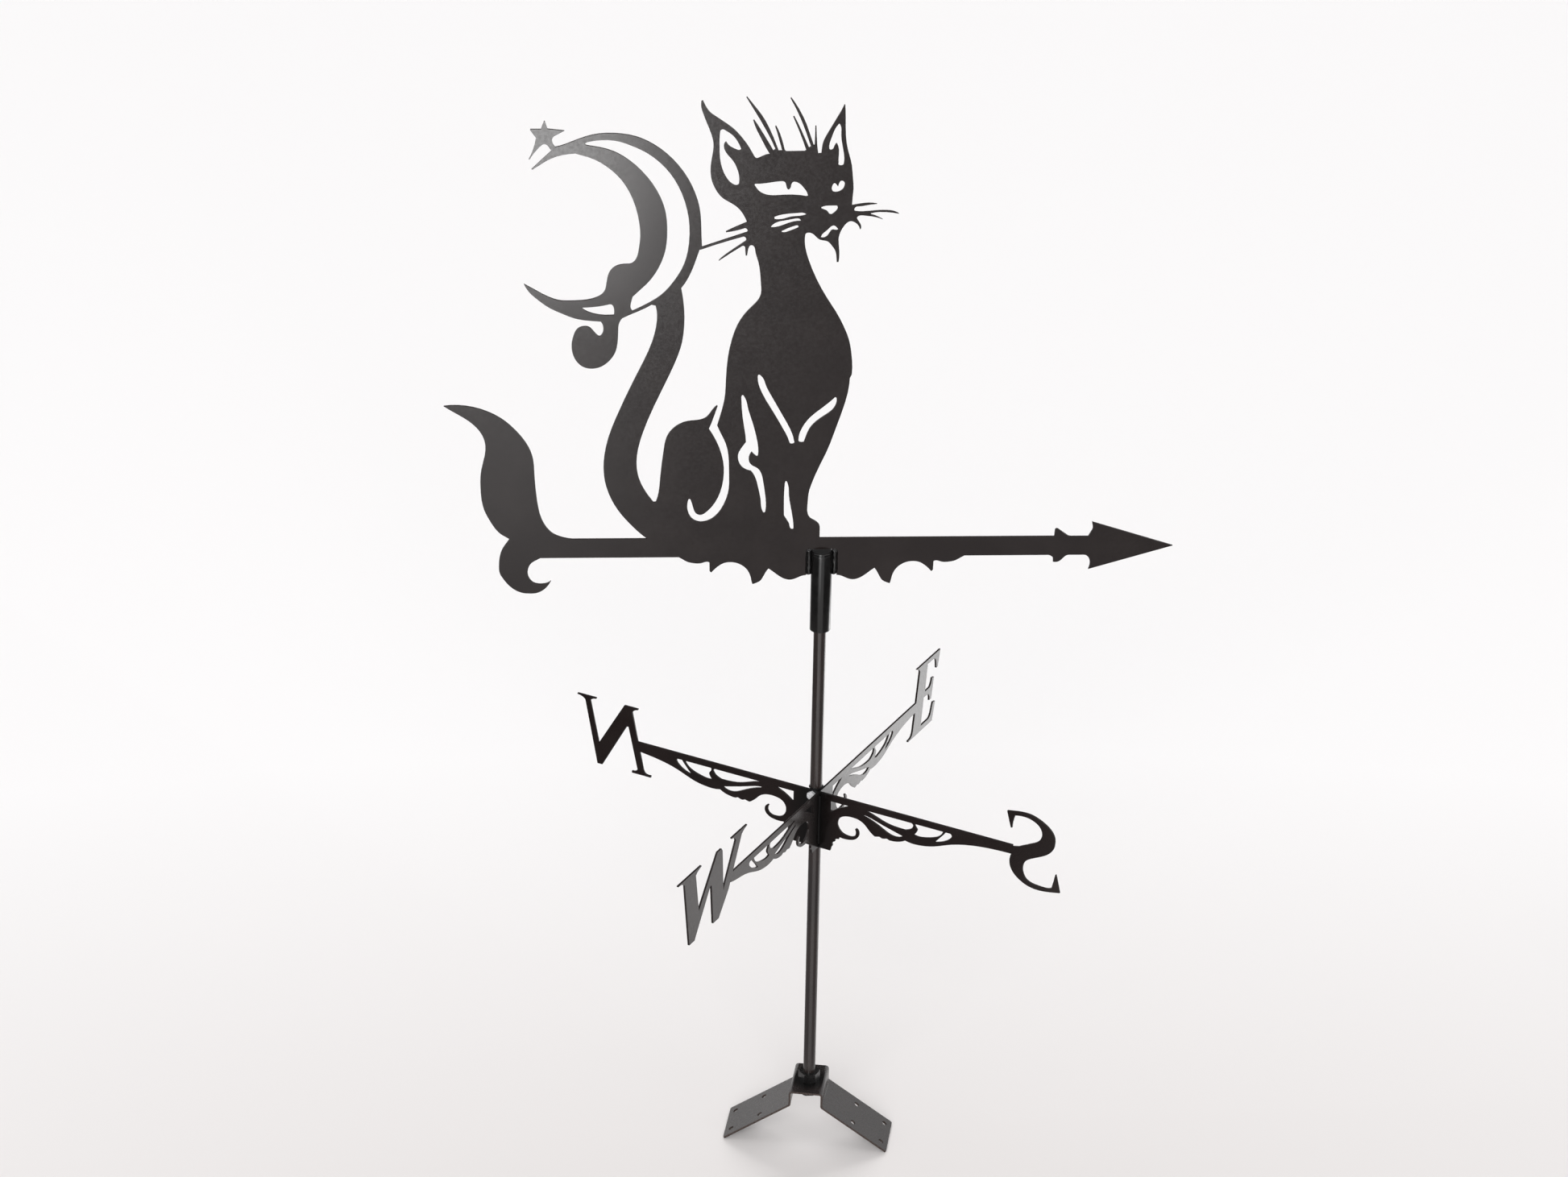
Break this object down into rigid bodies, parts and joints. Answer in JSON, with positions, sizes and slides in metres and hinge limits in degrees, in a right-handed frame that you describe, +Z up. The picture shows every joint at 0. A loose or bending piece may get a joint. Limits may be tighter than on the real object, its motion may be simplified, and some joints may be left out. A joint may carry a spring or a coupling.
{
  "type": "weathervane",
  "caption": "Weathervane with a flat cut-steel cat, moon and arrow that turns freely on a round mast, with a compass of cut letters and a bent saddle bracket for a roof ridge.",
  "frame": {"origin": "on the mast's axis, at the upper face of the bracket's top plate", "axes": "+Z up along the mast; +X towards the arrow's tip at rest; the vane plate stands in the XZ plane and the pictured side faces -Y"},
  "size_m": [0.691, 0.469, 1.1145],
  "materials": {
    "plate_coat": "fine-textured satin black powder coat",
    "mast_coat": "satin black paint",
    "bracket_coat": "satin dark grey powder coat",
    "gloss_black": "gloss black paint over steel and weld",
    "nut_black": "semi-gloss black paint",
    "zinc_steel": "bright zinc",
    "polished_steel": "polished steel",
    "nylon": "natural nylon"
  },
  "bodies": {
    "stand": {"bracket_crown": "bracket_coat", "bracket_wing_arrow_side": "bracket_coat", "bracket_wing_tail_side": "bracket_coat", "mast": "mast_coat", "upper_nut": "nut_black", "lower_nut": "nut_black", "lower_washer": "nut_black", "compass_plate_ns": "plate_coat", "compass_plate_we": "plate_coat", "hub_bolt": "zinc_steel", "hub_nut": "zinc_steel", "corner_weld": "gloss_black", "mast_weld_top": "gloss_black", "mast_weld_bottom": "gloss_black", "pivot_ball": "polished_steel"},
    "vane": {"vane_plate": "plate_coat", "rotor_sleeve": "gloss_black", "sleeve_cap": "gloss_black", "thrust_disc": "polished_steel", "upper_bush": "nylon", "lower_bush": "nylon", "weld_bead_left": "gloss_black", "weld_bead_right": "gloss_black"}
  },
  "joints": [
    {"name": "vane_turn", "type": "hinge", "parent": "stand", "child": "vane", "pos_m": [0, 0, 0.55], "axis": [0, 0, 1], "continuous": true}
  ]
}
